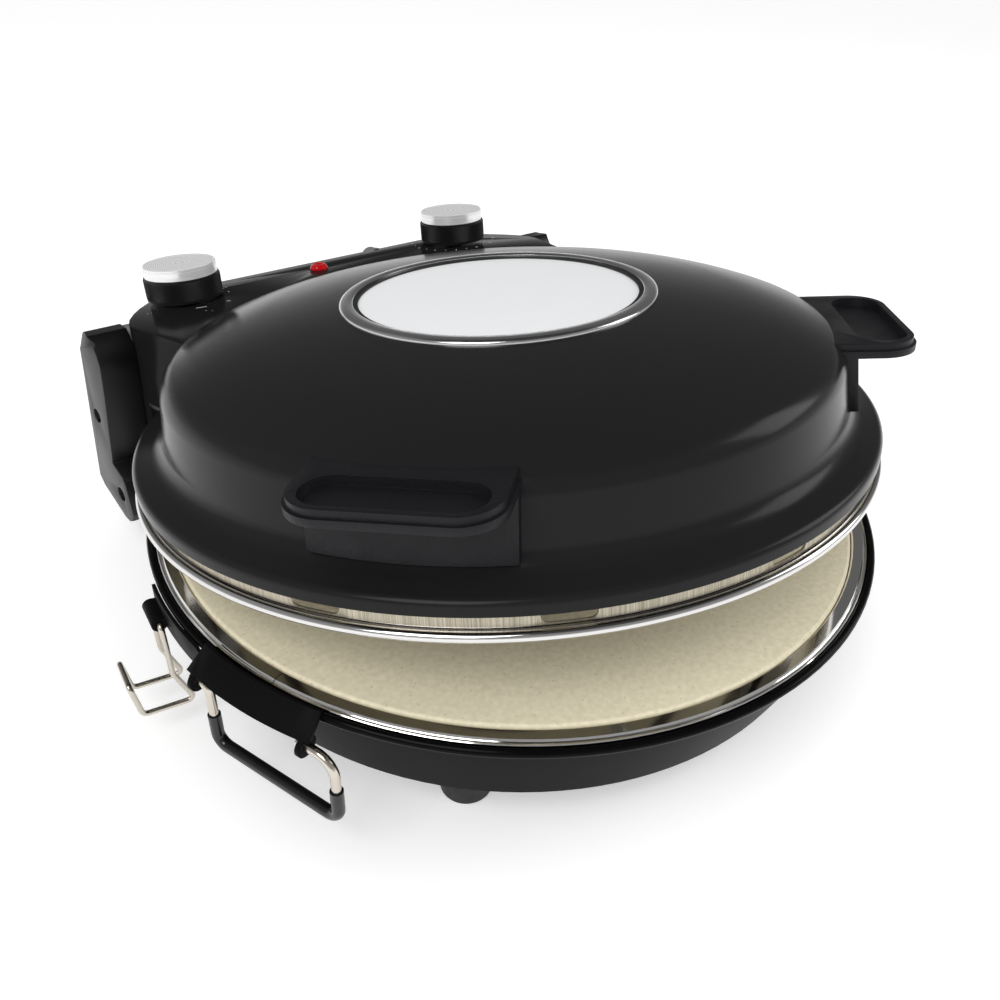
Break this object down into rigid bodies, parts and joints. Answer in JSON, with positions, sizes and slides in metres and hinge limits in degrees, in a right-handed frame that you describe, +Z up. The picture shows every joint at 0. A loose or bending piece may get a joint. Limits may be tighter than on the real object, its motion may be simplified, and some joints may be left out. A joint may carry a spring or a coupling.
{
  "type": "electric pizza maker",
  "caption": "Round countertop pizza maker: ceramic stone in a steel bowl, domed lid with a glass window hinged at the rear, side handles, two control knobs, wire latches and bails.",
  "frame": {"origin": "centre of the whole object seen from above, on the table under the feet, in the rest pose with the lid a little raised", "axes": "+Z up, -Y towards the user at the front, +X to the right; the lid hinge is along X at the rear"},
  "size_m": [0.3874, 0.3751, 0.1698],
  "materials": {
    "bowl": "satin dark grey enamel",
    "rim": "gloss black enamel",
    "polished": "polished stainless sheet",
    "zinc": "plated steel",
    "element": "oxidised heater sheath",
    "stone": "matt fired cordierite, faint speckle",
    "foot": "matt black",
    "black_sheet": "satin black paint",
    "cover": "matt black",
    "wire": "nickel-plated wire",
    "sleeve": "soft black sleeve",
    "lid": "gloss black enamel",
    "skirt": "brushed stainless",
    "glass": "clear",
    "gasket": "matt black silicone",
    "bezel": "bright brushed",
    "handle": "fine-grained black",
    "housing": "gloss black",
    "arm": "semi-gloss black",
    "thermostat_body": "unglazed",
    "timer_body": "matt",
    "lens": "red, glossy",
    "lamp": "matt",
    "block": "unglazed",
    "gland": "matt grey",
    "knob": "knurled black",
    "cap": "spun face"
  },
  "bodies": {
    "base": {"base_bowl": "bowl", "rim_ring": "rim", "reflector_pan": "polished", "reflector_band": "polished", "pan_standoffs": "zinc", "pan_screws": "zinc", "lower_element": "element", "lower_clips": "zinc", "stone_supports": "zinc", "pizza_stone": "stone", "feet": "foot", "foot_screws": "zinc", "hinge_yoke": "black_sheet", "yoke_screws": "zinc", "hinge_pins": "zinc", "terminal_cover": "cover", "terminal_bolts": "zinc", "bracket_left": "black_sheet", "bracket_right": "black_sheet", "bracket_rivets": "black_sheet"},
    "lid": {"lid_shell": "lid", "lid_skirt": "skirt", "upper_reflector": "polished", "upper_element": "element", "upper_clips": "zinc", "window_glass": "glass", "window_gasket": "gasket", "window_bezel": "bezel", "window_retainer": "zinc", "handle_left": "handle", "handle_right": "handle", "handle_screws": "zinc", "control_housing": "housing", "housing_cover": "housing", "cover_screws": "zinc", "housing_bolts": "zinc", "thermostat": "thermostat_body", "timer": "timer_body", "lamp_lens": "lens", "lamp_holder": "lamp", "terminal_block": "block", "cord_gland": "gland", "arm_left": "arm", "arm_right": "arm", "arm_screws": "zinc"},
    "bail_left": {"bail_wire_left": "wire", "bail_sleeve_left": "sleeve"},
    "bail_right": {"bail_wire_right": "wire", "bail_sleeve_right": "sleeve"},
    "latch_left": {"latch_wire_left": "wire"},
    "latch_right": {"latch_wire_right": "wire"},
    "thermostat_knob": {"knob_left": "knob", "knob_left_cap": "cap", "knob_left_shaft": "zinc"},
    "timer_knob": {"knob_right": "knob", "knob_right_cap": "cap", "knob_right_shaft": "zinc"}
  },
  "joints": [
    {"name": "lid_hinge", "type": "hinge", "parent": "base", "child": "lid", "pos_m": [0, 0.1386, 0.0281], "axis": [-1, 0, 0], "range_deg": [-7.79, 70]},
    {"name": "thermostat_turn", "type": "hinge", "parent": "lid", "child": "thermostat_knob", "pos_m": [-0.0867, 0.16142, 0.13217], "axis": [0, -0.1355, -0.9908], "range_deg": [-135, 135]},
    {"name": "timer_turn", "type": "hinge", "parent": "lid", "child": "timer_knob", "pos_m": [0.0867, 0.16142, 0.13217], "axis": [0, -0.1355, -0.9908], "range_deg": [0, 300]},
    {"name": "bail_left_swing", "type": "hinge", "parent": "base", "child": "bail_left", "pos_m": [-0.16547, -0.07347, 0.058], "axis": [-0.3256, 0.9455, 0], "range_deg": [-28, 100]},
    {"name": "latch_left_swing", "type": "hinge", "parent": "base", "child": "latch_left", "pos_m": [-0.17433, -0.00125, 0.057], "axis": [0.0872, 0.9962, 0], "range_deg": [-12, 150]},
    {"name": "bail_right_swing", "type": "hinge", "parent": "base", "child": "bail_right", "pos_m": [0.16547, -0.07347, 0.058], "axis": [-0.3256, -0.9455, 0], "range_deg": [-28, 100]},
    {"name": "latch_right_swing", "type": "hinge", "parent": "base", "child": "latch_right", "pos_m": [0.17433, -0.00125, 0.057], "axis": [0.0872, -0.9962, 0], "range_deg": [-12, 150]}
  ]
}
